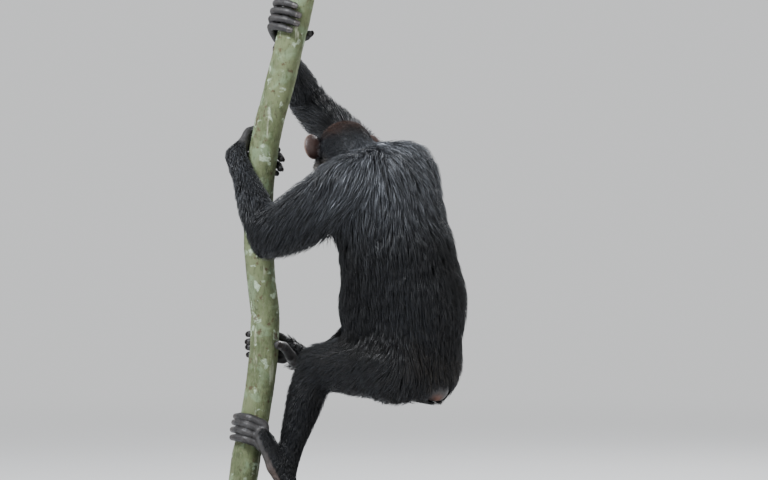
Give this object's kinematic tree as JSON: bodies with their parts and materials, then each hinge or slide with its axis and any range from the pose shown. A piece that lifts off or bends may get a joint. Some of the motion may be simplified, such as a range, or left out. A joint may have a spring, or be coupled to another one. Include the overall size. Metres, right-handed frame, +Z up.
{
  "type": "chimpanzee climbing model",
  "caption": "Life-size still model of an adult chimpanzee gripping a slender cut trunk with hands and feet, held by a flat base and short rods.",
  "frame": {"origin": "on the floor, at the middle of the underside of the stand's base", "axes": "+Z up; someone who looks along +Y sees the animal's back, from its left; its chest faces the trunk, between -X and +Y"},
  "size_m": [0.72, 0.72, 1.32],
  "materials": {
    "coat": "long flowing black hair with a cool sheen, silvered over the upper back",
    "skin": "bare dark grey-brown skin, finely creased",
    "eye": "wet, dark brown",
    "bark": "rough grey-green bark mottled with lichen",
    "stand_board": "smooth matte grey paint",
    "stand_steel": "brushed"
  },
  "bodies": {
    "root": {"chest": "coat", "belly": "coat", "hips": "coat", "neck": "coat", "head": "coat", "upper_arm_left": "coat", "forearm_left": "coat", "thigh_left": "coat", "shin_left": "coat", "hand_left": "skin", "foot_left": "skin", "ear_left": "skin", "eye_left": "eye", "upper_arm_right": "coat", "forearm_right": "coat", "thigh_right": "coat", "shin_right": "coat", "hand_right": "skin", "foot_right": "skin", "ear_right": "skin", "eye_right": "eye", "perch_trunk": "bark", "stand_base": "stand_board", "stand_rod_front": "stand_steel", "stand_rod_back": "stand_steel"}
  },
  "joints": []
}
